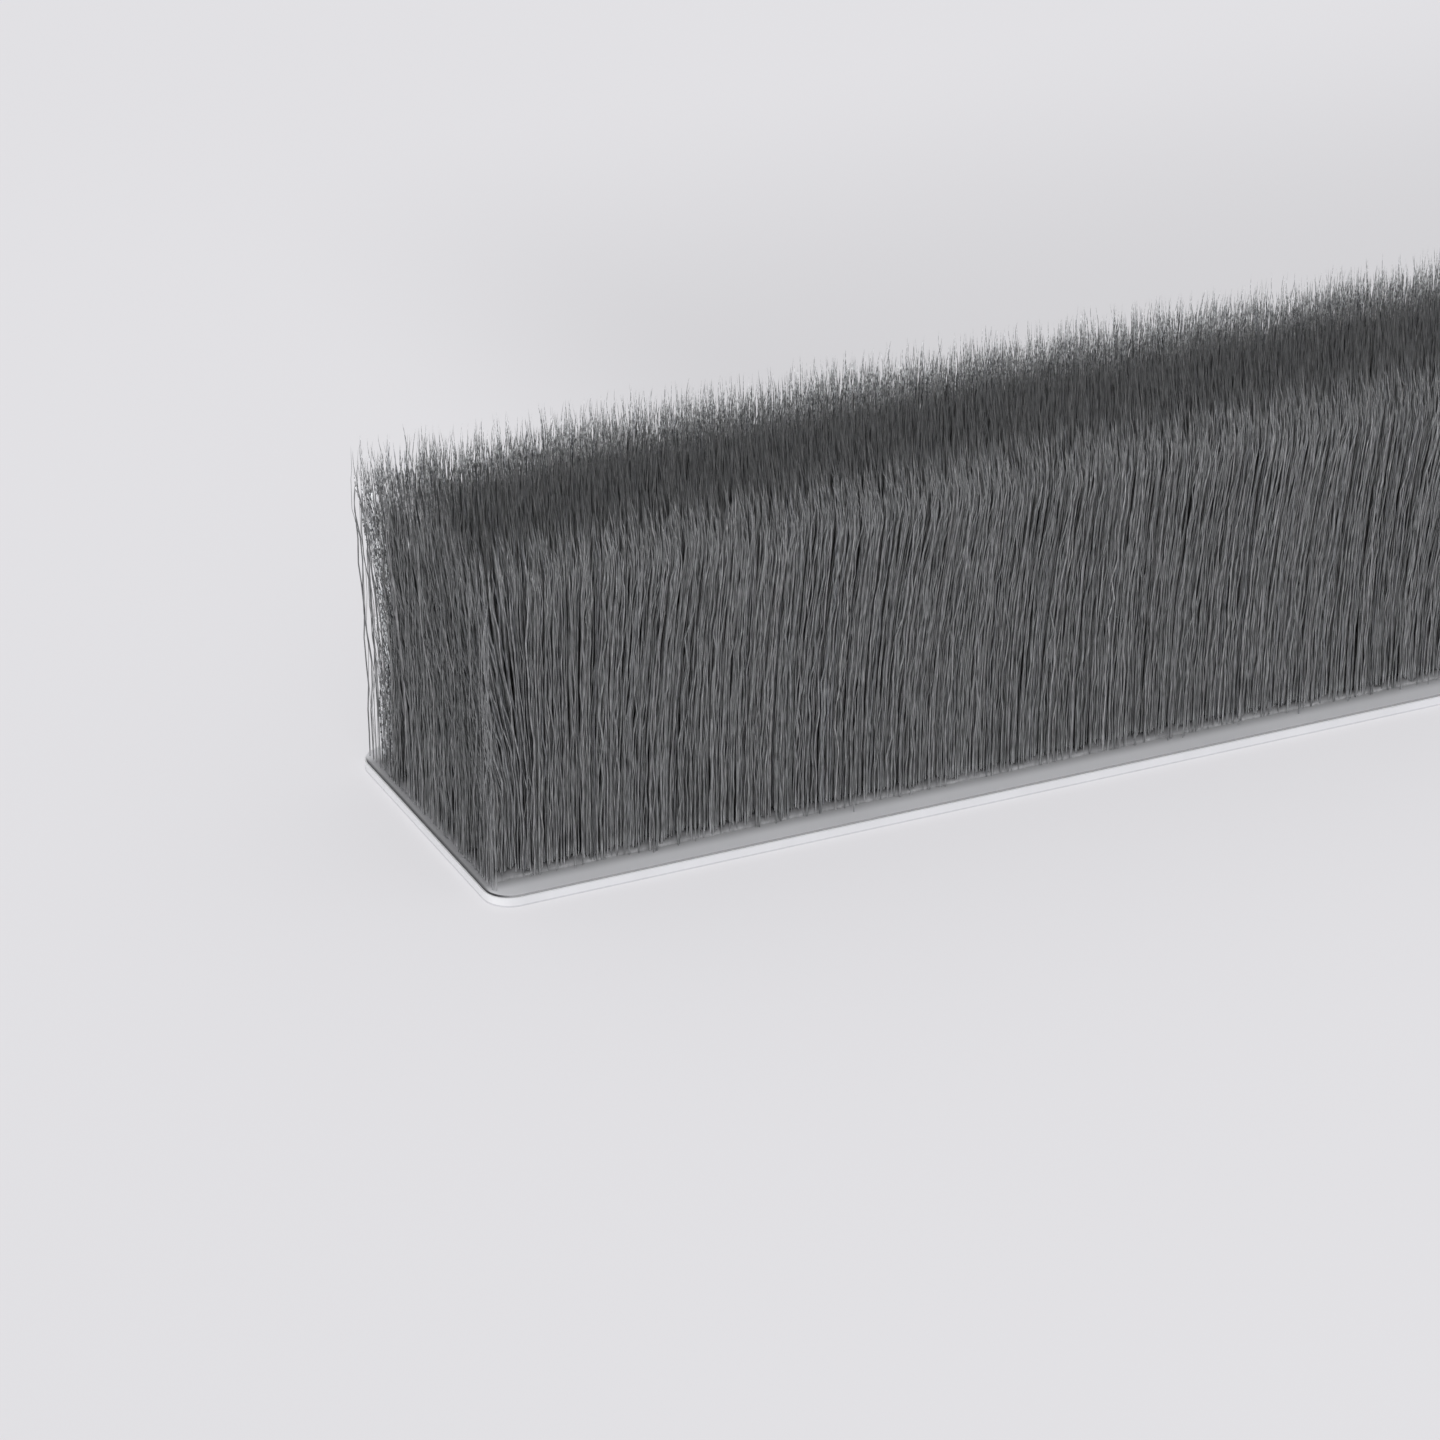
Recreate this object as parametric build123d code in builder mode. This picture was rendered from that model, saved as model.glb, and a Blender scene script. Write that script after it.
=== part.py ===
from build123d import *
import os

# A self-adhesive brush seal strip, as stuck along the edge of a door or a letter plate.
# It lies on its liner: X runs along the strip, Y across it and Z up from the liner's underside.
# Lengths are in millimetres, and the origin is the middle of the strip's underside.

# Driving dimensions of the whole strip
strip_length = 60.0
strip_width = 9.0
strip_height = 9.0
corner_radius = 0.7

# The flat base, from the bottom up
liner_thickness = 0.04
tape_thickness = 0.20
backing_thickness = 0.06
backing_setback = 0.04

# The field of cut pile and the bare margins that it leaves on the backing
side_margin = 0.85
end_margin = 0.28
row_count = 7
tufts_per_row = 66

# One tuft of fibres spreads from its yarn to its cut tip
yarn_height = 0.35
row_gap_at_yarn = 0.16
row_gap_at_tip = 0.05
tuft_gap_at_yarn = 0.12
tuft_gap_at_tip = 0.05
tuft_gap_at_mouth = 0.30
mouth_depth = 0.22
shoulder_drop = 0.40
shoulder_power = 4

tape_bottom = liner_thickness
backing_bottom = tape_bottom + tape_thickness
backing_top = backing_bottom + backing_thickness
pile_length = strip_length - 2 * end_margin
pile_width = strip_width - 2 * side_margin
row_pitch = pile_width / row_count
tuft_pitch = pile_length / tufts_per_row
row_width = row_pitch - row_gap_at_tip
yarn_top = backing_top + yarn_height

os.makedirs("parts", exist_ok=True)


def tip_height(y):
    """Height of the sheared tips, which fall away towards the pile's two long faces."""
    return strip_height - shoulder_drop * abs(2 * y / pile_width) ** shoulder_power


# Release liner, peeled off before the strip is stuck down
with BuildPart() as release_liner:
    with BuildSketch(Plane.XY):
        RectangleRounded(strip_length, strip_width, corner_radius)
    extrude(amount=liner_thickness)

# White double-sided tape, which shows as the bright edge of the base
with BuildPart() as adhesive_tape:
    with BuildSketch(Plane.XY.offset(tape_bottom)):
        RectangleRounded(strip_length, strip_width, corner_radius)
    extrude(amount=tape_thickness)

# Grey backing film, set back a hair from the tape's edge
with BuildPart() as backing_strip:
    with BuildSketch(Plane.XY.offset(backing_bottom)):
        RectangleRounded(
            strip_length - 2 * backing_setback,
            strip_width - 2 * backing_setback,
            corner_radius - backing_setback,
        )
    extrude(amount=backing_thickness)


# The slot between two tufts of a row: wide at the yarn, pinched above it and open at the tips
half_yarn_gap = tuft_gap_at_yarn / 2
half_tip_gap = tuft_gap_at_tip / 2
half_mouth = tuft_gap_at_mouth / 2
mouth_bottom = strip_height - mouth_depth
with BuildSketch() as tuft_gap:
    with BuildLine():
        Polyline(
            (-half_yarn_gap, yarn_top),
            (half_yarn_gap, yarn_top),
            (half_tip_gap, mouth_bottom),
            (half_mouth, strip_height),
            (-half_mouth, strip_height),
            (-half_tip_gap, mouth_bottom),
            close=True,
        )
    make_face()


def pile_row(y_middle, gap_count):
    """One yarn of the pile: a low foot along the strip that carries a comb of spreading tufts."""
    y_front = y_middle - row_width / 2
    y_back = y_middle + row_width / 2
    taper = (row_gap_at_yarn - row_gap_at_tip) / 2
    with BuildPart() as row:
        with BuildSketch(Plane.XZ.offset(-y_back)):
            with Locations((0, (backing_top + strip_height) / 2)):
                Rectangle(pile_length, strip_height - backing_top)
            with GridLocations(tuft_pitch, 0, gap_count, 1):
                add(tuft_gap.sketch, mode=Mode.SUBTRACT)
        extrude(amount=row_width)
        with BuildSketch(Plane.YZ.offset(-pile_length / 2)):
            with BuildLine():
                Polyline(
                    (y_front + taper, backing_top),
                    (y_back - taper, backing_top),
                    (y_back, tip_height(y_back)),
                    (y_front, tip_height(y_front)),
                    close=True,
                )
            make_face()
        extrude(amount=pile_length, mode=Mode.INTERSECT)
    return row


pieces = {
    "release_liner": release_liner,
    "adhesive_tape": adhesive_tape,
    "backing_strip": backing_strip,
}

# Neighbouring rows are staggered by half a tuft, so that no gap lets light through the pile
for number in range(row_count):
    y_middle = (number - (row_count - 1) / 2) * row_pitch
    gap_count = tufts_per_row + 1 - number % 2
    pieces[f"pile_row_{number + 1}"] = pile_row(y_middle, gap_count)

for name, piece in pieces.items():
    piece.part.label = name
    export_step(piece.part, f"parts/{name}.step")
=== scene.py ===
import copy
import math

import bpy
import numpy as np
from mathutils import Matrix, Vector


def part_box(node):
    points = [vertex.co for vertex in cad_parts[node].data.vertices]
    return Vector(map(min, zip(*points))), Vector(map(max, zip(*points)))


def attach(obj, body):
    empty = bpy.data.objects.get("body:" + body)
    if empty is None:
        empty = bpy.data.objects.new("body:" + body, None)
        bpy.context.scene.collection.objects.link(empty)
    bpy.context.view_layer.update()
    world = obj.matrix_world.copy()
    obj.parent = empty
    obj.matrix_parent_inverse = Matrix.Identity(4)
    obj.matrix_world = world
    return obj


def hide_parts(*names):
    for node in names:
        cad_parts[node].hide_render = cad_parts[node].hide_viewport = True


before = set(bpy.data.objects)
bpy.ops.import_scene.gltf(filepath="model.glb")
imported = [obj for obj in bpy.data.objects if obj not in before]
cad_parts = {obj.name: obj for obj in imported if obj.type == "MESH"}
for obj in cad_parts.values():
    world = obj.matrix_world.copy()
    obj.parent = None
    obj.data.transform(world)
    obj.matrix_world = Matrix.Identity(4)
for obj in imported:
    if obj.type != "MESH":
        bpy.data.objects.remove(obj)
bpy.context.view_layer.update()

MM = 0.001
RNG = np.random.default_rng(11)

# The frame's own sizes, in metres
BASE_LOW, BASE_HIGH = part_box("release_liner")
ROW_NAMES = sorted(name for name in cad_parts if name.startswith("pile_row_"))
_, FILM_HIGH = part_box("backing_strip")
_, FIRST_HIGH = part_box(ROW_NAMES[0])
_, LAST_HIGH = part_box(ROW_NAMES[-1])
_, MIDDLE_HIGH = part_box(ROW_NAMES[len(ROW_NAMES) // 2])
FOOT_Z = FILM_HIGH[2]
TOP_Z = MIDDLE_HIGH[2]
PILE_HALF_LENGTH = FIRST_HIGH[0]
PILE_HALF_WIDTH = LAST_HIGH[1]

# The fibres of the pile's four faces stand in close layers, each layer with so many rings a fibre
FACE_RINGS = (18, 14, 8, 6)
END_RINGS = (16,) + 13 * (10,)
FACE_INSET = 0.08 * MM
FACE_STEP = 0.062 * MM
END_INSET = 0.03 * MM
END_STEP = 0.072 * MM
FACE_PITCH = 0.064 * MM
FACE_SHAKE = 0.3
FOOT_SCATTER = 0.055 * MM
FACE_RADIUS = 0.028 * MM

# The fibres inside show only their tips, which bend more near the pile's edges than in its middle
CORE_INSET = 0.05 * MM
CORE_PITCH = 0.130 * MM
CORE_SHAKE = 0.30
CORE_RADIUS = 0.033 * MM
EDGE_DEPTH = 1.0 * MM
EDGE_RINGS = 4
EDGE_TIP_RINGS = 3
MIDDLE_RINGS = 2

# A few thin hairs stand outside the cut ends, and follow the other fibres' fan only this little
LOOSE_REACH = 0.45 * MM
LOOSE_PITCH = 0.10 * MM
LOOSE_RINGS = 14
LOOSE_FAN = (-0.05, 0.18)
LOOSE_SLACK = 2 * MM

# How thick fibres are: the range, the thin ones, the longest ones, and the taper to a fibre's tip
RADIUS_VARIES = (0.8, 1.15)
THIN_SHARE = 0.6
PROUD_THINNING = 0.5
PROUD_REACH = 0.5 * MM
TIP_ZONE = 0.85 * MM
TAPER_LENGTH = 1.0 * MM
TIP_SHARE = 0.30

# How high the sheared tips stand. The top tilts across the strip, swells a little, falls towards the
# cut ends, drops at the shoulders and is ragged, with a tail of long fibres up to the longest
MEAN_LENGTH = TOP_Z - FOOT_Z - 0.18 * MM
LONGEST = TOP_Z - FOOT_Z + 0.30 * MM
LONGEST_SPREAD = 0.20 * MM
SHORTEST = 1.0 * MM
TILT = 0.05 * MM
SWELL = 0.04 * MM
SWELL_WAVES = (1.2 * MM, 9 * MM)
END_FALL = 0.10 * MM
END_FALL_REACH = 9 * MM
SHOULDER_DEPTH = 1.5 * MM
SHOULDER_DROP = 0.40 * MM
LENGTH_SPREAD = 0.24 * MM
LENGTH_TAIL = 0.15 * MM
SHOULDER_TAIL = 0.35

# Leans in degrees at shares of a fibre's height: along the combed pile, and out over its cut ends
COMB_PROFILE = ((0.0, 0.0), (0.2, 0.3), (0.5, 3.8), (0.87, 6.0), (0.98, -9.5), (1.1, -9.5))
COMB_UNEVEN = 0.35
COMB_WAVES = (3 * MM, 12 * MM)
COMB_START = 1.5 * MM
FAN_PROFILE = ((0.0, 0.0), (0.2, 1.0), (0.45, 22.0), (0.8, 25.0), (0.95, 12.0), (1.1, 4.0))
FAN_UNEVEN = 0.25
FAN_WAVES = (0.5 * MM, 2 * MM)
FAN_DEPTH = 1.2 * MM
PROFILE_STEPS = 240

# Across the strip the tips lean out over the long faces, spread at the cut ends, and are swept back
# along them. Each fades inwards over its depth
SIDE_LEAN = 0.22 * MM
SIDE_LEAN_DEPTH = 1.2 * MM
END_SPREAD = 0.10
END_SPREAD_DEPTH = 1.5 * MM
END_SWEEP = 1.2 * MM
END_SWEEP_DEPTH = 0.5 * MM

# How far fibres wander by their tips, along and across: with their neighbours, each alone, and the
# few stray ones. The tip itself turns more, and is pushed along the strip at the back
DRIFT_TOGETHER = (0.10 * MM, 0.07 * MM)
DRIFT_WAVES = (1.8 * MM, 6 * MM)
DRIFT_ALONE = (0.08 * MM, 0.05 * MM)
DRIFT_POWER = 1.5
STRAY_SHARE = 0.04
STRAY_DRIFT = (0.18 * MM, 0.12 * MM)
TIP_DRIFT = (0.04 * MM, 0.05 * MM)
TIP_PUSH = 0.12 * MM
TIP_TURN_LENGTH = 0.9 * MM

# Crimp: each fibre bends this way and that, in waves of these lengths (from, to) and this size
CRIMP_WAVES = (
    (0.8 * MM, 1.3 * MM, 0.022 * MM),
    (1.3 * MM, 2.1 * MM, 0.032 * MM),
    (2.4 * MM, 4.5 * MM, 0.036 * MM),
)
CRIMP_VARIES = (0.4, 1.6)
CRIMP_START = 1.5 * MM
CRIMP_LOST_AT_TIP = 0.5

# The fibres of the faces cling together a little, in locks of this size along and across the strip
LOCK_ALONG = 0.18 * MM
LOCK_ACROSS = 0.39 * MM
LOCK_OUTSIDE = 0.1 * MM
LOCK_END_DEPTH = 0.4 * MM
LOCK_WARP = 0.05 * MM
LOCK_WAVES = (0.5 * MM, 2 * MM)
LOCK_PULL = 0.3
# Fibres towards the edges of their locks are darker: painted shade of the gaps between locks
LOCK_PAINTED_SHADE = 0.25
LOCK_DRIFT = 0.5

# Near the strip's cut ends the pile is thinner: the share of fibres that stands at the very end, and
# how deep it is thinned. It stands in strands there: how strong they are, how much of them is gap,
# how deep they go, how far they are drawn out along the strip, and how wide they are
END_SHARE = 0.40
END_DEPTH = 0.40 * MM
STRAND_SHARE = 0.7
STRAND_GAP = 0.3
STRAND_DEPTH = 0.9 * MM
STRAND_STRETCH = 0.25
STRAND_WAVES = (0.32 * MM, 0.65 * MM)

# The strip is cut across the pile: how far out feet stand there, how far inside the pile's end the
# cut runs, in mm at shares of a fibre's length, and how far tips may pass it
END_SCATTER = 0.10 * MM
END_TRIM = ((0.0, 0.0), (0.5, 0.19), (0.9, 0.06), (1.0, 0.0))
END_SLACK = 0.07 * MM
TRIM_CHECKS = 40

# A low bead goes round the pile, where the fibres' feet are fused. Each point of its section is mm
# outside the pile, and a share of the bead's height. The top is uneven
WELD_HIGH = 0.30 * MM
WELD_SECTION = (
    (0.02, 0.0),
    (0.0, 0.35),
    (-0.03, 0.65),
    (-0.06, 0.88),
    (-0.12, 1.0),
    (-0.30, 0.9),
    (-0.30, 0.0),
)
WELD_CORNER = 0.15 * MM
WELD_CORNER_POINTS = 5
WELD_PITCH = 0.08 * MM
WELD_SUNK = 0.005 * MM
WELD_MEAN = 0.80
WELD_UNEVEN = 0.26
WELD_LIMITS = (0.3, 1.3)
WELD_WAVES = (0.15 * MM, 0.9 * MM)

# A fibre's own shade is more often a middle one. It is multiplied by these at its foot, and at the tips on
# the pile's edges
# and on the middle of its top: painted light on the feet and the edge tips, painted shade on the middle of
# the top
SHADE_SHAPE = (2.2, 2.2)
FOOT_PAINTED_LIGHT = 2.2
FOOT_ALONG = (0.0, 0.075)
SHOULDER_PAINTED_LIGHT = 1.3
TOP_PAINTED_SHADE = 0.57
TOP_ALONG = (0.84, 0.95)

# The tips' painted light and shade go by the way in from the pile's edge, and the way in from a cut end
# counts more
TOP_DEPTH = (0.1 * MM, 2.3 * MM)
TOP_END_SHARE = 1.6
TOP_END_MORE = 1.3 * MM

# Along the back edge the tips get painted highlights in flecks, brighter still on the tips that stand
# highest, and so does the back corner below them, on the fibres' front sides only. Each range goes from
# where there is no fleck to where it is full
FLECK_HIGHLIGHTS = (0.7, 3.1)
FLECK_NOISE = (0.47, 0.56)
PROUD_HIGHLIGHT = 1.4
CORNER_HIGHLIGHTS = (0.85, 4.6)
CORNER_NOISE = (0.46, 0.54)
FLECK_Z = (TOP_Z - 1.3 * MM, TOP_Z - 0.8 * MM)
PROUD_Z = (TOP_Z - 0.6 * MM, TOP_Z - 0.1 * MM)
BACK_Y = (PILE_HALF_WIDTH - 2.6 * MM, PILE_HALF_WIDTH - 0.7 * MM)
BESIDE_X = (PILE_HALF_LENGTH - 2.2 * MM, PILE_HALF_LENGTH - 0.6 * MM)
BESIDE_Y = (-1.0 * MM, 2.0 * MM)
BESIDE_SHARE = 0.7
CORNER_X = (PILE_HALF_LENGTH - 0.5 * MM, PILE_HALF_LENGTH - 0.2 * MM)
CORNER_Y = (PILE_HALF_WIDTH - 1.3 * MM, PILE_HALF_WIDTH - 0.5 * MM)
CORNER_FROM_Z = (FOOT_Z, FOOT_Z + 0.8 * MM)
CORNER_TO_Z = (TOP_Z - 0.8 * MM, TOP_Z - 1.2 * MM)
FRONT_FACING = (0.30, -0.15)

# Cells of the flat texture map keep this share of themselves free on each side
CELL_MARGIN = 0.08

# The film has a painted shadow beside the pile, and painted shade along its rim at the cut ends
FILM_PAINTED_SHADOW = 0.46
FILM_DEPTH = (-0.50 * MM, 0.05 * MM)
FILM_END_SHARE = 0.6
RIM_PAINTED_SHADE = 0.5
RIM_X = (FILM_HIGH[0] - 0.06 * MM, FILM_HIGH[0] - 0.02 * MM)

# The scales of the materials' noise, on lengths in metres, and the depth of their fine grain
GLINT_SCALE = (22000, 22000, 3200)
SPECK_SCALE = 11000
WELD_SCALE = (12000, 12000, 1500)
FILM_CLOUD_SCALE = 260
FILM_GRAIN_SCALE = 9000
WHITE_CLOUD_SCALE = 700
WHITE_GRAIN_SCALE = 12000
GRAIN_DEPTH = 0.01 * MM

# A Mix node has a set of sockets for each kind of value
NUMBER_A, NUMBER_B, NUMBER_OUT = 2, 3, 0
COLOUR_A, COLOUR_B, COLOUR_OUT = 6, 7, 2


def linear(*srgb):
    """A colour given in 0 to 255 sRGB, as Blender's linear numbers."""
    return [((v / 255 + 0.055) / 1.055) ** 2.4 if v > 10 else v / 255 / 12.92 for v in srgb] + [1.0]


# Materials
class Look:
    """A node tree, with short ways to add what the materials here are made of."""

    def __init__(self, tree):
        self.nodes = tree.nodes
        self.links = tree.links

    def fill(self, node, inputs):
        """Links each input to the socket that is given for it, or sets it to the value."""
        for key, value in inputs.items():
            if isinstance(value, bpy.types.NodeSocket):
                self.links.new(value, node.inputs[key])
            else:
                node.inputs[key].default_value = value

    def add(self, kind, inputs, **settings):
        """A new node, with its inputs and settings."""
        node = self.nodes.new(kind)
        for name, setting in settings.items():
            setattr(node, name, setting)
        self.fill(node, inputs)
        return node

    def place(self):
        """The point on the surface, in metres."""
        return self.add("ShaderNodeTexCoord", {}).outputs["Object"]

    def parts_of(self, vector):
        """The X, Y and Z of a vector."""
        return self.add("ShaderNodeSeparateXYZ", {0: vector}).outputs

    def facing(self):
        """The X, Y and Z of the direction that the surface faces."""
        return self.parts_of(self.add("ShaderNodeNewGeometry", {}).outputs["Normal"])

    def noise(self, vector, scale, detail):
        node = self.add("ShaderNodeTexNoise", {"Vector": vector, "Scale": scale, "Detail": detail})
        return node.outputs["Fac"]

    def streaks(self, place, scale, faint, strong):
        """Noise with its own scale along X, Y and Z, as a number from faint to strong."""
        stretch = self.add("ShaderNodeMapping", {"Vector": place, "Scale": scale})
        return self.even(self.noise(stretch.outputs["Vector"], 1.0, 2.0), 0.3, 0.7, faint, strong)

    def ramp(self, value, stops):
        """A colour from stops, each of them a position and a colour."""
        node = self.add("ShaderNodeValToRGB", {"Fac": value})
        elements = node.color_ramp.elements
        while len(elements) < len(stops):
            elements.new(0.5)
        for element, (position, colour) in zip(elements, stops):
            element.position = position
            element.color = colour
        return node.outputs["Color"]

    def step(self, value, start, end, low=0.0, high=1.0, kind="SMOOTHSTEP"):
        """Goes smoothly from low, where the value is at start, to high, where it is at end."""
        inputs = {"Value": value, "From Min": start, "From Max": end, "To Min": low, "To Max": high}
        return self.add("ShaderNodeMapRange", inputs, interpolation_type=kind).outputs["Result"]

    def even(self, value, start, end, low=0.0, high=1.0):
        """The same, in a straight line."""
        return self.step(value, start, end, low, high, "LINEAR")

    def combine(self, operation, *values):
        """Numbers put together one after the other."""
        total = values[0]
        for value in values[1:]:
            total = self.add("ShaderNodeMath", {0: total, 1: value}, operation=operation).outputs[0]
        return total

    def size_of(self, value):
        return self.add("ShaderNodeMath", {0: value}, operation="ABSOLUTE").outputs[0]

    def scaled(self, value, factor, more):
        """The value times a factor, and a number more."""
        inputs = {0: value, 1: factor, 2: more}
        return self.add("ShaderNodeMath", inputs, operation="MULTIPLY_ADD").outputs[0]

    def blend(self, share, value):
        """From 1, where the share is 0, to the value, where it is 1."""
        node = self.add("ShaderNodeMix", {"Factor": share, NUMBER_A: 1.0, NUMBER_B: value})
        return node.outputs[NUMBER_OUT]

    def mixed(self, share, first, second, kind="MIX"):
        """From the first colour, where the share is 0, to the second, where it is 1."""
        inputs = {"Factor": share, COLOUR_A: first, COLOUR_B: second}
        return self.add("ShaderNodeMix", inputs, data_type="RGBA", blend_type=kind).outputs[COLOUR_OUT]

    def shaded(self, colour, level):
        """The colour times a number."""
        return self.mixed(1.0, colour, level, "MULTIPLY")

    def grained(self, place, scale, strength):
        """The surface's direction, with a fine grain in it."""
        grain = self.noise(place, scale, 3.0)
        inputs = {"Height": grain, "Strength": strength, "Distance": GRAIN_DEPTH}
        return self.add("ShaderNodeBump", inputs).outputs["Normal"]


def new_material(name):
    material = bpy.data.materials.new(name)
    material.use_nodes = True
    look = Look(material.node_tree)
    return material, look, look.nodes["Principled BSDF"]


def inside_pile(look, at, end_share, end_more=0.0):
    """How far a point is inside the pile's outline, seen from above. Outside, it is below 0.

    The way in from a cut end counts end_share times, with end_more on top.
    """
    from_end = look.scaled(look.size_of(at["X"]), -end_share, PILE_HALF_LENGTH * end_share + end_more)
    from_side = look.scaled(look.size_of(at["Y"]), -1.0, PILE_HALF_WIDTH)
    return look.combine("MINIMUM", from_end, from_side)


def painted_back_highlights(look, place, at):
    """Painted highlights, in flecks, on the tips at the back and down the back corner, on the fibres'
    front sides.
    """
    from_middle = look.size_of(at["X"])
    specks = look.noise(place, SPECK_SCALE, 1.0)
    front_side = look.step(look.facing()["Y"], *FRONT_FACING)

    fleck = look.step(specks, *FLECK_NOISE, *FLECK_HIGHLIGHTS)
    fleck = look.blend(look.step(at["Z"], *FLECK_Z), fleck)
    proud = look.step(at["Z"], *PROUD_Z, 1.0, PROUD_HIGHLIGHT)
    beside = look.step(from_middle, *BESIDE_X, 0.0, BESIDE_SHARE)
    beside = look.combine("MULTIPLY", beside, look.step(at["Y"], *BESIDE_Y))
    edge = look.combine("MAXIMUM", look.step(at["Y"], *BACK_Y), beside)
    edge = look.combine("MULTIPLY", edge, front_side)
    tips = look.blend(edge, look.combine("MAXIMUM", fleck, proud))

    corner = look.combine(
        "MULTIPLY",
        front_side,
        look.step(from_middle, *CORNER_X),
        look.step(at["Y"], *CORNER_Y),
        look.step(at["Z"], *CORNER_FROM_Z),
        look.step(at["Z"], *CORNER_TO_Z),
    )
    below = look.blend(corner, look.step(specks, *CORNER_NOISE, *CORNER_HIGHLIGHTS))
    return look.combine("MAXIMUM", tips, below)


def fibre_material(name, painted_highlights):
    """Crimped polypropylene: each fibre has its own shade, and painted glints make it a little uneven
    along its length.
    """
    material, look, shader = new_material(name)
    place = look.place()
    at = look.parts_of(place)
    fibre = look.parts_of(look.add("ShaderNodeUVMap", {}, uv_map="Fibre").outputs["UV"])
    own_shade, along = fibre["X"], fibre["Y"]
    colour = look.ramp(own_shade, [
        (0.0, [0.170, 0.174, 0.188, 1]),
        (0.35, [0.214, 0.219, 0.220, 1]),
        (0.70, [0.253, 0.254, 0.260, 1]),
        (1.0, [0.332, 0.330, 0.328, 1]),
    ])
    glints = look.streaks(place, GLINT_SCALE, 0.52, 1.52)
    # Painted light on the feet; on the tips, painted light at the edges and painted shade in the middle of
    # the top
    foot = look.even(along, *FOOT_ALONG, FOOT_PAINTED_LIGHT, 1.0)
    depth = inside_pile(look, at, TOP_END_SHARE, TOP_END_MORE)
    top = look.step(depth, *TOP_DEPTH, SHOULDER_PAINTED_LIGHT, TOP_PAINTED_SHADE)
    top = look.blend(look.even(along, *TOP_ALONG), top)
    level = look.combine("MULTIPLY", glints, foot, top)
    if painted_highlights:
        level = look.combine("MULTIPLY", level, painted_back_highlights(look, place, at))
    look.fill(shader, {
        "Base Color": look.shaded(colour, level),
        "Roughness": 0.62,
        "Specular IOR Level": 0.25,
    })
    return material


def weld_material():
    """The fibres' fused feet: grey film at the bottom that darkens into the fibres, faintly streaked.

    The ramp is partly the feet's own grey and partly painted: painted light at the bottom against the
    contact shade, painted shade at the top to match the shaded pile, and painted shade on faces that turn
    up.
    """
    material, look, shader = new_material("fibre_weld_look")
    place = look.place()
    height = look.even(look.parts_of(place)["Z"], FOOT_Z, FOOT_Z + WELD_HIGH)
    colour = look.ramp(height, [
        (0.0, [0.50, 0.50, 0.51, 1]),
        (0.27, [0.24, 0.24, 0.246, 1]),
        (0.53, [0.138, 0.138, 0.142, 1]),
        (1.0, [0.105, 0.105, 0.108, 1]),
    ])
    streaks = look.streaks(place, WELD_SCALE, 0.84, 1.16)
    painted_up_shade = look.step(look.facing()["Z"], 0.35, 0.8, 1.0, 0.4)
    look.fill(shader, {
        "Base Color": look.shaded(colour, look.combine("MULTIPLY", streaks, painted_up_shade)),
        "Roughness": 0.6,
        "Specular IOR Level": 0.25,
    })
    return material


def film_material():
    """Smooth grey film, with a painted shadow beside the pile and at its cut ends, painted shade along the
    rim there, and darker cut faces.
    """
    material, look, shader = new_material("backing_film_look")
    place = look.place()
    at = look.parts_of(place)
    facing = look.facing()
    cloud = look.noise(place, FILM_CLOUD_SCALE, 4.0)
    top = look.ramp(cloud, [(0.3, [0.74, 0.74, 0.76, 1]), (0.7, [0.80, 0.80, 0.82, 1])])
    depth = inside_pile(look, at, FILM_END_SHARE)
    painted_pile_shadow = look.step(depth, *FILM_DEPTH, 1.0, FILM_PAINTED_SHADOW)
    rim = look.step(look.size_of(at["X"]), *RIM_X, 1.0, RIM_PAINTED_SHADE)
    top = look.shaded(top, look.combine("MULTIPLY", painted_pile_shadow, rim))
    # The cut faces: partly the cut edge's own darker tone, and painted shade, much deeper on the faces at
    # the cut ends
    end_on = look.size_of(facing["X"])
    cut = look.ramp(end_on, [(0.3, [0.34, 0.34, 0.35, 1]), (0.8, [0.03, 0.03, 0.032, 1])])
    look.fill(shader, {
        "Base Color": look.mixed(look.step(facing["Z"], 0.3, 0.8), cut, top),
        "Normal": look.grained(place, FILM_GRAIN_SCALE, 0.08),
        "Roughness": 0.42,
    })
    return material


def white_material(name, side, face, roughness):
    """White tape or liner, very slightly cloudy, with painted light that makes its top and bottom faces
    and its cut ends whiter than its long sides.
    """
    material, look, shader = new_material(name)
    place = look.place()
    facing = look.facing()
    painted_light_facing = look.combine("MAXIMUM", look.size_of(facing["X"]), look.size_of(facing["Z"]))
    tint = look.ramp(painted_light_facing, [(0.3, side), (0.8, face)])
    cloud = look.even(look.noise(place, WHITE_CLOUD_SCALE, 4.0), 0.3, 0.7, 0.97, 1.02)
    look.fill(shader, {
        "Base Color": look.shaded(tint, cloud),
        "Normal": look.grained(place, WHITE_GRAIN_SCALE, 0.15),
        "Roughness": roughness,
    })
    return material


def dress(node, material):
    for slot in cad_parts[node].material_slots:
        slot.material = material


# The feet of the pile
def smooth_field(x, y, waves, shortest, longest):
    """A gentle random field over the strip, about -1 to 1, so that neighbouring fibres go together."""
    total = np.zeros_like(x)
    for _ in range(waves):
        length = math.exp(RNG.uniform(math.log(shortest), math.log(longest)))
        turn = RNG.uniform(0, math.tau)
        phase = RNG.uniform(0, math.tau)
        total += np.sin((x * math.cos(turn) + y * math.sin(turn)) * math.tau / length + phase)
    usual_peak = 1.6 * math.sqrt(waves / 2)
    return total / usual_peak


def spaced(low, high, pitch):
    """Middles of the equal steps, about pitch long, that fill low to high."""
    count = max(1, round((high - low) / pitch))
    return low + (np.arange(count) + 0.5) / count * (high - low)


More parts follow.
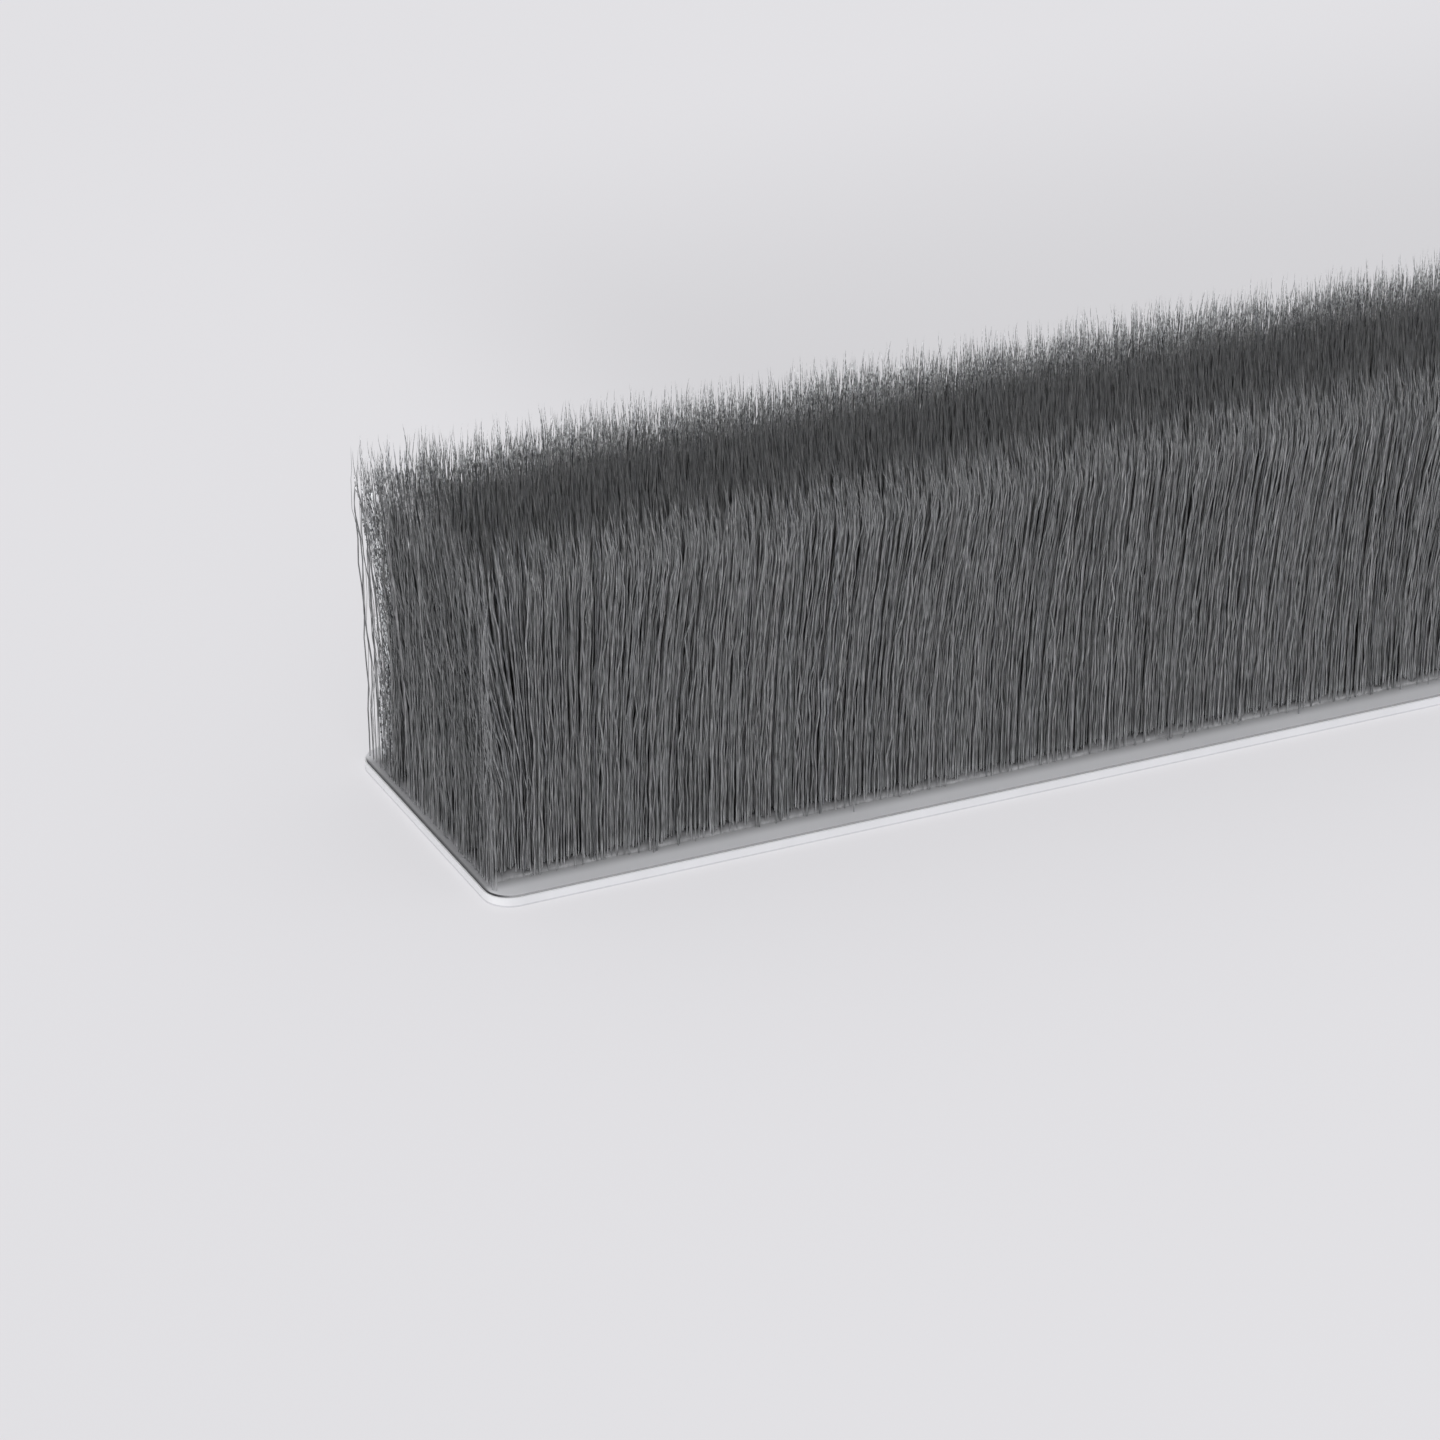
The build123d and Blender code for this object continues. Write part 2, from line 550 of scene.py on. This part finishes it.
def plant_face():
    """Feet in close layers along the pile's four sides, each layer half a step along from the last."""
    feet = []
    for layer, rings in enumerate(FACE_RINGS):
        half_y = PILE_HALF_WIDTH - FACE_INSET - layer * FACE_STEP
        along = spaced(-PILE_HALF_LENGTH, PILE_HALF_LENGTH, FACE_PITCH) + (layer % 2) * FACE_PITCH / 2
        feet += [(x, side * half_y, rings, side) for side in (-1, 1) for x in along]
    face_depth = len(FACE_RINGS) * FACE_STEP
    for layer, rings in enumerate(END_RINGS):
        half_x = PILE_HALF_LENGTH + END_SCATTER - END_INSET - layer * END_STEP
        half_y = PILE_HALF_WIDTH - min(layer * FACE_STEP, face_depth)
        across = spaced(-half_y, half_y, FACE_PITCH) + (layer % 2) * FACE_PITCH / 2
        feet += [(side * half_x, y, rings, 0) for side in (-1, 1) for y in across]
    x, y, rings, side = np.array(feet).T
    shake = FACE_SHAKE * FACE_PITCH
    x = x + RNG.uniform(-1, 1, x.size) * shake
    y = y + RNG.uniform(-1, 1, y.size) * shake + side * RNG.exponential(FOOT_SCATTER, y.size)
    return x, y, rings.astype(int), side.astype(int)


def plant_loose():
    """Feet of the few thin hairs that stand outside the pile's two cut ends."""
    reach = PILE_HALF_WIDTH + LOOSE_REACH
    y = np.tile(spaced(-reach, reach, LOOSE_PITCH), 2)
    y = y + RNG.uniform(-0.5, 0.5, y.size) * LOOSE_PITCH
    x = np.repeat([-1, 1], y.size // 2) * (PILE_HALF_LENGTH + RNG.uniform(0, 1, y.size) * END_SCATTER)
    return x, y


def plant_core():
    """Feet inside the pile: an even grid, shaken so that no lines show."""
    half_x = PILE_HALF_LENGTH - CORE_INSET - len(END_RINGS) * END_STEP + END_SCATTER
    half_y = PILE_HALF_WIDTH - CORE_INSET - len(FACE_RINGS) * FACE_STEP
    x, y = np.meshgrid(spaced(-half_x, half_x, CORE_PITCH), spaced(-half_y, half_y, CORE_PITCH))
    x, y = x.ravel(), y.ravel()
    x = x + RNG.normal(0, CORE_SHAKE, x.size) * CORE_PITCH
    y = y + RNG.normal(0, CORE_SHAKE, y.size) * CORE_PITCH
    edge = np.minimum(PILE_HALF_LENGTH - np.abs(x), PILE_HALF_WIDTH - np.abs(y))
    return x, y, np.where(edge < EDGE_DEPTH, EDGE_RINGS, MIDDLE_RINGS)


def carried(up, profile):
    """How far a fibre's lean has carried it along the strip, at shares of the mean height."""
    steps = np.linspace(0, profile[-1][0], PROFILE_STEPS)
    heights, leans = zip(*profile)
    slope = np.tan(np.radians(np.interp(steps, heights, leans)))
    reach = np.concatenate([[0], np.cumsum((slope[1:] + slope[:-1]) / 2) * steps[1]])
    return np.interp(up, steps, reach) * MEAN_LENGTH


# The fibres of the pile
class Pile:
    """Every fibre's foot, length and bends, one row a fibre, worked out once for all the pieces."""

    def __init__(self):
        self.plant()
        lock, middle = self.gather()
        self.from_end = np.maximum(0, PILE_HALF_LENGTH + END_SCATTER - np.abs(self.x))
        self.from_side = np.maximum(0, PILE_HALF_WIDTH - np.abs(self.y))
        self.thin_out()
        self.shear()
        self.lean()
        self.wander(lock)
        self.bend()
        self.finish(middle)
        self.trim_ends()

    def plant(self):
        """The feet of the faces, of the loose hairs and of the core, in that order."""
        face_x, face_y, face_rings, face_side = plant_face()
        loose_x, loose_y = plant_loose()
        core_x, core_y, core_rings = plant_core()
        self.x = np.concatenate([face_x, loose_x, core_x])
        self.y = np.concatenate([face_y, loose_y, core_y])
        self.rings = np.concatenate([face_rings, np.full(loose_x.size, LOOSE_RINGS), core_rings])
        self.side = np.concatenate([face_side, np.zeros(loose_x.size + core_x.size, dtype=int)])
        number = np.arange(self.x.size)
        self.on_face = number < face_x.size + loose_x.size
        self.loose = self.on_face & (number >= face_x.size)

    def gather(self):
        """Draws fibres into locks. Gives the first fibre of each one's lock, and how central it stands."""
        warp = LOCK_WARP * smooth_field(self.x, self.y, 12, *LOCK_WAVES)
        along = (self.x + warp) / LOCK_ALONG
        across = (PILE_HALF_WIDTH + LOCK_OUTSIDE - np.abs(self.y)) / LOCK_ACROSS
        lock = np.stack([np.floor(along), np.floor(across), np.sign(self.y)])
        _, first, member = np.unique(lock, axis=1, return_index=True, return_inverse=True)
        off_x = along - np.floor(along) - 0.5
        off_y = across - np.floor(across) - 0.5
        at_end = PILE_HALF_LENGTH - np.abs(self.x) < LOCK_END_DEPTH
        pull = LOCK_PULL * LOCK_ALONG * np.sin(math.tau * off_x) / math.tau
        self.x = self.x - np.where(self.on_face, pull, 0)
        return first[member.ravel()], 1 - 2 * np.abs(np.where(at_end, off_y, off_x))

    def thin_out(self):
        """Says which fibres stand: near the cut ends fewer do, and in strands."""
        strands = smooth_field(STRAND_STRETCH * self.x, self.y, 12, *STRAND_WAVES)
        share = np.minimum(1, END_SHARE + (1 - END_SHARE) * self.from_end / END_DEPTH)
        share += STRAND_SHARE * (strands - STRAND_GAP) * np.exp(-((self.from_end / STRAND_DEPTH) ** 2))
        self.kept = self.loose | (RNG.random(self.x.size) < share)

    def shear(self):
        """The fibres' lengths, and how proud of their surroundings the longest stand."""
        n = self.x.size
        near_side = np.clip(1 - self.from_side / SHOULDER_DEPTH, 0, 1) ** 2
        near_end = np.clip(1 - self.from_end / SHOULDER_DEPTH, 0, 1) ** 2
        drop = SHOULDER_DROP * (near_side + near_end) + END_FALL * np.exp(-self.from_end / END_FALL_REACH)
        swell = SWELL * smooth_field(self.x, self.y, 14, *SWELL_WAVES)
        length = MEAN_LENGTH + TILT * self.y / PILE_HALF_WIDTH - drop + swell
        length += RNG.normal(0, LENGTH_SPREAD, n)
        length += RNG.exponential(1, n) * (LENGTH_TAIL + SHOULDER_TAIL * drop) - LENGTH_TAIL / 2
        self.length = np.minimum(length, LONGEST - RNG.uniform(0, LONGEST_SPREAD, n))
        self.proud = np.clip((self.length - MEAN_LENGTH + drop) / PROUD_REACH, 0, 1)

    def lean(self):
        """How far the tips lean across the strip, and how strongly fibres are fanned and combed."""
        side_lean = np.sign(self.y) * SIDE_LEAN * np.exp(-self.from_side / SIDE_LEAN_DEPTH)
        side_lean += self.y * END_SPREAD * np.exp(-self.from_end / END_SPREAD_DEPTH)
        swept = np.clip(1 - (self.y / PILE_HALF_WIDTH) ** 2, 0, 1)
        swept = swept * np.exp(-self.from_end / END_SWEEP_DEPTH)
        self.side_lean = side_lean + END_SWEEP * swept * ~self.loose
        self.fan = np.sign(self.x) * np.exp(-self.from_end / FAN_DEPTH)
        self.fan *= 1 + FAN_UNEVEN * smooth_field(self.x, self.y, 12, *FAN_WAVES)
        self.comb = 1 + COMB_UNEVEN * smooth_field(self.x, self.y, 12, *COMB_WAVES)
        self.comb *= 1 - np.exp(-self.from_end / COMB_START)

    def wander(self, lock):
        """Drift from that course: with the neighbours, with the lock, alone, and at the tip."""
        n = self.x.size
        with_lock = np.where(self.on_face, LOCK_DRIFT, 0)
        self.drift_x, self.drift_y = (
            size * smooth_field(self.x, self.y, 24, *DRIFT_WAVES) for size in DRIFT_TOGETHER
        )
        for drift, spread in zip((self.drift_x, self.drift_y), DRIFT_ALONE):
            own = RNG.normal(0, spread, n)
            drift += own + with_lock * (own[lock] - own)
        self.tip_x, self.tip_y = (RNG.normal(0, spread, n) for spread in TIP_DRIFT)
        self.tip_x += TIP_PUSH * (self.y / PILE_HALF_WIDTH + 1) / 2
        self.stray = (RNG.random(n) < STRAY_SHARE) & self.on_face
        for drift, spread in zip((self.drift_x, self.drift_y), STRAY_DRIFT):
            drift += np.where(self.stray, RNG.normal(0, spread, n), 0)

    def bend(self):
        """Each fibre's crimp waves: how fast each goes, where it starts, which way and how far."""
        n = self.x.size
        self.crimp = np.stack([
            np.stack([
                math.tau / RNG.uniform(shortest, longest, n),
                RNG.uniform(0, math.tau, n),
                RNG.uniform(0, math.tau, n),
                size * RNG.uniform(*CRIMP_VARIES, n),
            ], axis=1)
            for shortest, longest, size in CRIMP_WAVES
        ], axis=1)

    def finish(self, middle):
        """Thickness, turn and shade, and how far a tip may pass the cut end."""
        n = self.x.size
        self.radius = np.where(self.on_face, FACE_RADIUS, CORE_RADIUS) * RNG.uniform(*RADIUS_VARIES, n)
        self.radius *= np.where(self.stray, THIN_SHARE, 1 - PROUD_THINNING * self.proud)
        self.radius *= np.where(self.loose, THIN_SHARE, 1)
        self.fan *= np.where(self.loose, RNG.uniform(*LOOSE_FAN, n), 1)
        self.turn = RNG.uniform(0, math.tau, n)
        self.shade = RNG.beta(*SHADE_SHAPE, n)
        # Painted shade: fibres near the edge of their lock are darker, as the gaps between locks are
        # shaded
        self.shade += np.where(self.on_face, LOCK_PAINTED_SHADE * (middle - self.shade), 0)
        self.slack = END_SCATTER + RNG.exponential(END_SLACK, n) + np.where(self.loose, LOOSE_SLACK, 0)

    def trim_ends(self):
        """The strip was cut to length across the pile, so no fibre reaches far past its end."""
        s = np.linspace(0, 1, TRIM_CHECKS)[None, :] * np.ones((self.x.size, 1))
        x, _, _ = self.route(s)
        shares, trims = zip(*END_TRIM)
        limit = PILE_HALF_LENGTH - np.interp(s, shares, trims) * MM + self.slack[:, None]
        past = np.abs(x) > limit
        first = np.where(past.any(axis=1), past.argmax(axis=1), s.shape[1] - 1)
        self.length = self.length * s[0, first]

    def route(self, s):
        """Where the fibres are at share s of their length, one row a fibre and one column a level."""
        h = s * self.length[:, None]
        up = h / MEAN_LENGTH
        drifted = up ** DRIFT_POWER
        x = self.x[:, None] + self.drift_x[:, None] * drifted
        y = self.y[:, None] + self.side_lean[:, None] * up ** 2 + self.drift_y[:, None] * drifted
        x = x + self.comb[:, None] * carried(up, COMB_PROFILE)
        x = x + self.fan[:, None] * carried(up, FAN_PROFILE)
        tip = np.clip(1 - (self.length[:, None] - h) / TIP_TURN_LENGTH, 0, 1) ** 2
        x = x + self.tip_x[:, None] * tip
        y = y + self.tip_y[:, None] * tip
        held = np.minimum(1, h / CRIMP_START) * (1 - CRIMP_LOST_AT_TIP * tip)
        for wave in range(len(CRIMP_WAVES)):
            rate, phase, turn, size = (self.crimp[:, wave, k][:, None] for k in range(4))
            swing = size * held * np.sin(h * rate + phase)
            x = x + swing * np.cos(turn)
            y = y + swing * np.sin(turn)
        return x, y, FOOT_Z + h

    def some(self, chosen):
        """The same, for the chosen fibres alone."""
        part = copy.copy(self)
        for name, values in vars(self).items():
            setattr(part, name, values[chosen])
        return part


# Their meshes
def fibre_faces(rings):
    """One fibre's faces, as corner numbers: three sides, drawn to a point, and a closed foot."""
    quads = []
    for ring in range(rings - 1):
        for side in range(3):
            a, b = ring * 3 + side, ring * 3 + (side + 1) % 3
            quads.append((a, b, b + 3, a + 3))
    tip = rings * 3
    last = tip - 3
    tris = [(last + side, last + (side + 1) % 3, tip) for side in range(3)]
    return quads, tris + [(0, 2, 1)]


def round_fibre(rings):
    """How far round the fibre each of those faces' corners is, as a share, for the flat map."""
    turns = [side + corner for _ in range(rings - 1) for side in range(3) for corner in (0, 1, 1, 0)]
    turns += [side + corner for side in range(3) for corner in (0, 1, 0.5)]
    return np.array(turns + [0.0, 0.4, 0.8]) / 3


def ring_shares(part, rings):
    """The share of the height at each ring: even up to the tip zone, and closer in it."""
    tip_rings = EDGE_TIP_RINGS if rings == EDGE_RINGS else (rings + 2) // 4
    start = np.clip(1 - TIP_ZONE / part.length, 0, 1)[:, None]
    low = start * np.linspace(0, 1, rings - tip_rings, endpoint=False)[None, :]
    high = start + (1 - start) * np.linspace(0, 1, tip_rings + 1)[None, :]
    return np.concatenate([low, high], axis=1)


def grow(part, rings):
    """Corners of the fibres, with each corner's share of the height."""
    n = part.x.size
    shares = ring_shares(part, rings)
    x, y, z = part.route(shares)
    to_tip = (1 - shares[:, :rings]) * part.length[:, None]
    taper = TIP_SHARE + (1 - TIP_SHARE) * np.clip(to_tip / TAPER_LENGTH, 0, 1)
    angle = part.turn[:, None, None] + np.arange(3)[None, None, :] * math.tau / 3
    wide = (part.radius[:, None] * taper)[:, :, None]
    ring_x = x[:, :rings, None] + wide * np.cos(angle)
    ring_y = y[:, :rings, None] + wide * np.sin(angle)
    ring_z = np.repeat(z[:, :rings, None], 3, axis=2)
    rings_xyz = np.stack([ring_x, ring_y, ring_z], axis=3).reshape(n, rings * 3, 3)
    tips = np.stack([x[:, -1], y[:, -1], z[:, -1]], axis=1)[:, None, :]
    corners = np.concatenate([rings_xyz, tips], axis=1)
    heights = np.concatenate([np.repeat(shares[:, :rings], 3, axis=1), shares[:, -1:]], axis=1)
    return corners, heights


def fibre_mesh(name, batches):
    """One mesh from batches of fibres, with a map of shade and height and one for flat textures."""
    total = sum(corners.shape[0] for corners, _, _, _ in batches)
    across = math.ceil(math.sqrt(total * 4))
    down = math.ceil(total / across)
    filled = 1 - 2 * CELL_MARGIN
    points, index, starts, fibre_uv, flat_uv = [], [], [], [], []
    corner_base = loop_base = cell_base = 0
    for corners, heights, shade, rings in batches:
        n, each, _ = corners.shape
        quads, tris = fibre_faces(rings)
        loops = np.array([corner for face in quads + tris for corner in face])
        sizes = np.array([4] * len(quads) + [3] * len(tris))
        fibre = np.arange(n)[:, None]
        points.append(corners.reshape(-1, 3))
        index.append((loops[None, :] + corner_base + fibre * each).ravel())
        first = np.concatenate([[0], np.cumsum(sizes)[:-1]])
        starts.append((first[None, :] + loop_base + fibre * loops.size).ravel())
        up = heights[:, loops]
        fibre_uv.append(np.stack([np.repeat(shade[:, None], loops.size, 1), up], axis=2).reshape(-1, 2))
        cell = cell_base + fibre
        u = (cell % across + CELL_MARGIN + filled * round_fibre(rings)[None, :]) / across
        v = (cell // across + CELL_MARGIN + filled * up) / down
        flat_uv.append(np.stack([u, v], axis=2).reshape(-1, 2))
        corner_base += n * each
        loop_base += n * loops.size
        cell_base += n
    points = np.concatenate(points)
    index = np.concatenate(index)
    starts = np.concatenate(starts)
    mesh = bpy.data.meshes.new(name)
    mesh.vertices.add(len(points))
    mesh.vertices.foreach_set("co", points.astype(np.float32).ravel())
    mesh.loops.add(len(index))
    mesh.loops.foreach_set("vertex_index", index.astype(np.int32))
    mesh.polygons.add(len(starts))
    mesh.polygons.foreach_set("loop_start", starts.astype(np.int32))
    mesh.polygons.foreach_set("use_smooth", np.ones(len(starts), dtype=bool))
    mesh.update(calc_edges=True)
    for layer_name, uv in (("Fibre", fibre_uv), ("OFBake", flat_uv)):
        layer = mesh.uv_layers.new(name=layer_name, do_init=False)
        layer.uv.foreach_set("vector", np.concatenate(uv).astype(np.float32).ravel())
    return mesh


def add_piece(mesh, material, node):
    """A piece of the pile, in place of the solid that it belongs to."""
    mesh.materials.append(material)
    piece = bpy.data.objects.new(mesh.name, mesh)
    bpy.context.collection.objects.link(piece)
    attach(piece, "root")
    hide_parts(node)


def add_fibres(name, node, pile, chosen, material):
    batches = []
    for rings in np.unique(pile.rings[chosen]):
        part = pile.some(np.flatnonzero(chosen & (pile.rings == rings)))
        corners, heights = grow(part, rings)
        batches.append((corners, heights, part.shade, rings))
    add_piece(fibre_mesh(name, batches), material, node)


def build_pile():
    """A piece for each row, and more for the long faces, whose fibres show from foot to tip."""
    pile = Pile()
    material = fibre_material("pile_fibre_look", painted_highlights=True)
    standing = pile.kept & (pile.length > SHORTEST)
    across = (pile.y + PILE_HALF_WIDTH) / (2 * PILE_HALF_WIDTH) * len(ROW_NAMES)
    row_of = np.clip(across.astype(int), 0, len(ROW_NAMES) - 1)
    for number, node in enumerate(ROW_NAMES):
        chosen = standing & (row_of == number) & (pile.side == 0) & ~pile.loose
        add_fibres(f"pile_fibres_{number + 1}", node, pile, chosen, material)
    for side, label, node in ((-1, "front", ROW_NAMES[0]), (1, "back", ROW_NAMES[-1])):
        face = standing & (pile.side == side)
        outer = pile.rings >= FACE_RINGS[1]
        add_fibres(f"pile_{label}_outer", node, pile, face & outer, material)
        add_fibres(f"pile_{label}_inner", node, pile, face & ~outer, material)
    loose_material = fibre_material("loose_fibre_look", painted_highlights=False)
    add_fibres("pile_loose", ROW_NAMES[-1], pile, pile.loose, loose_material)


# The bead at its foot
def weld_path():
    """Points and outward directions round the pile's foot, evenly spaced."""
    half_x, half_y = PILE_HALF_LENGTH - WELD_CORNER, PILE_HALF_WIDTH - WELD_CORNER
    points, outward = [], []
    corners = ((1, -1), (1, 1), (-1, 1), (-1, -1))
    for number, (sign_x, sign_y) in enumerate(corners):
        turn = math.radians(90 * number - 90)
        for angle in np.linspace(turn, turn + math.pi / 2, WELD_CORNER_POINTS):
            out = np.array([math.cos(angle), math.sin(angle)])
            outward.append(out)
            points.append(np.array([sign_x * half_x, sign_y * half_y]) + out * WELD_CORNER)
        length = 2 * (half_y if number % 2 == 0 else half_x)
        along = np.array([-out[1], out[0]])
        for _ in np.arange(WELD_PITCH, length - WELD_PITCH / 2, WELD_PITCH):
            outward.append(out)
            points.append(points[-1] + along * WELD_PITCH)
    return np.array(points), np.array(outward)


def build_weld():
    """The bead round the pile, with an uneven top that the fibres come out of."""
    points, outward = weld_path()
    n, each = len(points), len(WELD_SECTION)
    out, up = np.array(WELD_SECTION).T
    uneven = WELD_MEAN + WELD_UNEVEN * smooth_field(points[:, 0], points[:, 1], 24, *WELD_WAVES)
    uneven = np.clip(uneven, *WELD_LIMITS)
    flat = points[:, None, :] + outward[:, None, :] * out[None, :, None] * MM
    z = FOOT_Z - WELD_SUNK + uneven[:, None] * up[None, :] * WELD_HIGH
    corners = np.concatenate([flat, z[:, :, None]], axis=2).reshape(-1, 3)
    faces = []
    for i in range(n):
        here, there = i * each, (i + 1) % n * each
        for k in range(each):
            above = (k + 1) % each
            faces.append((here + k, there + k, there + above, here + above))
    mesh = bpy.data.meshes.new("pile_weld")
    mesh.from_pydata(corners.tolist(), [], faces)
    mesh.polygons.foreach_set("use_smooth", np.ones(len(faces), dtype=bool))
    layer = mesh.uv_layers.new(name="OFBake", do_init=False)
    i, k = (a.ravel() for a in np.indices((n, each)))
    corner_u = np.stack([i, i + 1, i + 1, i], axis=1) / n
    corner_v = np.stack([k, k, k + 1, k + 1], axis=1) / each
    layer.uv.foreach_set("vector", np.stack([corner_u, corner_v], axis=2).astype(np.float32).ravel())
    add_piece(mesh, weld_material(), ROW_NAMES[0])


# Floor, light and camera
FLOOR_SIZE = 6.0
FLOOR_GAP = 0.004 * MM
FLOOR_CLOUD_SCALE = 14
FLOOR_TINTS = [(0.3, linear(231, 230, 233)), (0.7, linear(233, 232, 235))]
FLOOR_GLOW = 0.68
# A soft painted shadow on the floor behind the strip: how dark it is, and where it spreads
BEHIND_PAINTED_SHADOW = 0.88
BEHIND_X = (-21 * MM, -9 * MM)
BEHIND_Y = (50 * MM, 22 * MM)
BACKDROP_COLOUR = linear(225, 224, 227)
DOME_COLOUR = [0.98, 0.985, 1.0, 1]
DOME_SIDES = 0.90
DOME_TOP = 0.60


def direction(azimuth, elevation):
    """Azimuth is the side it comes from, 0 in front of the strip and 90 to its right, in degrees."""
    a, e = math.radians(azimuth), math.radians(elevation)
    return Vector((math.sin(a) * math.cos(e), -math.cos(a) * math.cos(e), math.sin(e)))


def build_floor():
    """A pale floor with a soft painted shadow behind the strip. It is mostly even, and still takes the
    shadow.
    """
    bpy.ops.mesh.primitive_plane_add(size=FLOOR_SIZE, location=(0, 0, BASE_LOW[2] - FLOOR_GAP))
    floor = bpy.context.object
    floor.name = "floor"
    material, look, shader = new_material("floor_look")
    place = look.place()
    at = look.parts_of(place)
    behind = look.combine(
        "MULTIPLY",
        look.step(at["Y"], BASE_LOW[1], BASE_HIGH[1]),
        look.step(at["Y"], *BEHIND_Y),
        look.step(at["X"], *BEHIND_X),
    )
    colour = look.ramp(look.noise(place, FLOOR_CLOUD_SCALE, 2.0), FLOOR_TINTS)
    colour = look.shaded(colour, look.even(behind, 0.0, 1.0, 1.0, BEHIND_PAINTED_SHADOW))
    look.fill(shader, {"Base Color": colour, "Roughness": 0.9, "Specular IOR Level": 0.0})
    glow = look.add("ShaderNodeEmission", {"Color": colour})
    seen = look.add("ShaderNodeLightPath", {}).outputs["Is Camera Ray"]
    share = look.combine("MULTIPLY", seen, FLOOR_GLOW)
    mix = look.add("ShaderNodeMixShader", {"Fac": share, 1: shader.outputs[0], 2: glow.outputs[0]})
    look.fill(look.nodes["Material Output"], {"Surface": mix.outputs[0]})
    floor.data.materials.append(material)


def build_world():
    """An even white studio, seen by the camera and in reflections as the floor's own pale grey."""
    world = bpy.data.worlds.new("studio")
    bpy.context.scene.world = world
    world.use_nodes = True
    look = Look(world.node_tree)
    height = look.parts_of(look.add("ShaderNodeTexCoord", {}).outputs["Generated"])["Z"]
    strength = look.even(height, 0.0, 1.0, DOME_SIDES, DOME_TOP)
    dome = look.nodes["Background"]
    look.fill(dome, {"Color": DOME_COLOUR, "Strength": strength})
    backdrop = look.add("ShaderNodeBackground", {"Color": BACKDROP_COLOUR})
    rays = look.add("ShaderNodeLightPath", {}).outputs
    seen = look.combine(
        "MAXIMUM", rays["Is Camera Ray"], rays["Is Glossy Ray"], rays["Is Transmission Ray"],
    )
    mix = look.add("ShaderNodeMixShader", {"Fac": seen, 1: dome.outputs[0], 2: backdrop.outputs[0]})
    look.fill(look.nodes["World Output"], {"Surface": mix.outputs[0]})


def add_sun(name, azimuth, elevation, strength, spread):
    """A soft far lamp."""
    lamp = bpy.data.lights.new(name, "SUN")
    lamp.energy = strength
    lamp.angle = math.radians(spread)
    sun = bpy.data.objects.new(name, lamp)
    sun.rotation_mode = "QUATERNION"
    sun.rotation_quaternion = direction(azimuth, elevation).to_track_quat("Z", "Y")
    bpy.context.collection.objects.link(sun)


# The camera, fitted to the photograph's 1440 x 1440 frame
FRAME_PX = 1440
FOCAL_PX = 4929.0
NEAR_CORNER_PX = (494.3, 901.0)
CAMERA_AZIMUTH = -25.28
CAMERA_ELEVATION = 25.95
CAMERA_DISTANCE = 118.1 * MM


def build_camera():
    """The near corner of the base's top is seen at NEAR_CORNER_PX, from the fitted direction."""
    back = direction(CAMERA_AZIMUTH, CAMERA_ELEVATION)
    right = Vector((0, 0, 1)).cross(back).normalized()
    up = back.cross(right)
    corner = Vector((BASE_LOW[0], BASE_LOW[1], FOOT_Z))
    metres_a_pixel = CAMERA_DISTANCE / FOCAL_PX
    off_x = (NEAR_CORNER_PX[0] - FRAME_PX / 2) * metres_a_pixel
    off_y = (FRAME_PX / 2 - NEAR_CORNER_PX[1]) * metres_a_pixel
    data = bpy.data.cameras.new("camera")
    data.sensor_width = 36.0
    data.lens = data.sensor_width * FOCAL_PX / FRAME_PX
    data.clip_start = 1 * MM
    data.clip_end = 20.0
    camera = bpy.data.objects.new("camera", data)
    spot = corner + back * CAMERA_DISTANCE - right * off_x - up * off_y
    turn = Matrix((right, up, back)).transposed().to_4x4()
    camera.matrix_world = Matrix.Translation(spot) @ turn
    bpy.context.collection.objects.link(camera)
    bpy.context.scene.camera = camera


tape_white = white_material(
    "adhesive_tape_look", side=[0.83, 0.83, 0.85, 1], face=[0.93, 0.93, 0.94, 1], roughness=0.6,
)
# The liner's grey is partly its own tone and partly painted shade, a faint dark line along the strip's
# bottom edge
liner_white = white_material(
    "release_liner_look", side=[0.66, 0.66, 0.68, 1], face=[0.70, 0.70, 0.72, 1], roughness=0.35,
)
dress("backing_strip", film_material())
dress("adhesive_tape", tape_white)
dress("release_liner", liner_white)
build_pile()
build_weld()
build_floor()
build_world()
add_sun("key", azimuth=-27, elevation=28, strength=0.9, spread=60)
build_camera()
bpy.context.scene.view_settings.view_transform = "Standard"
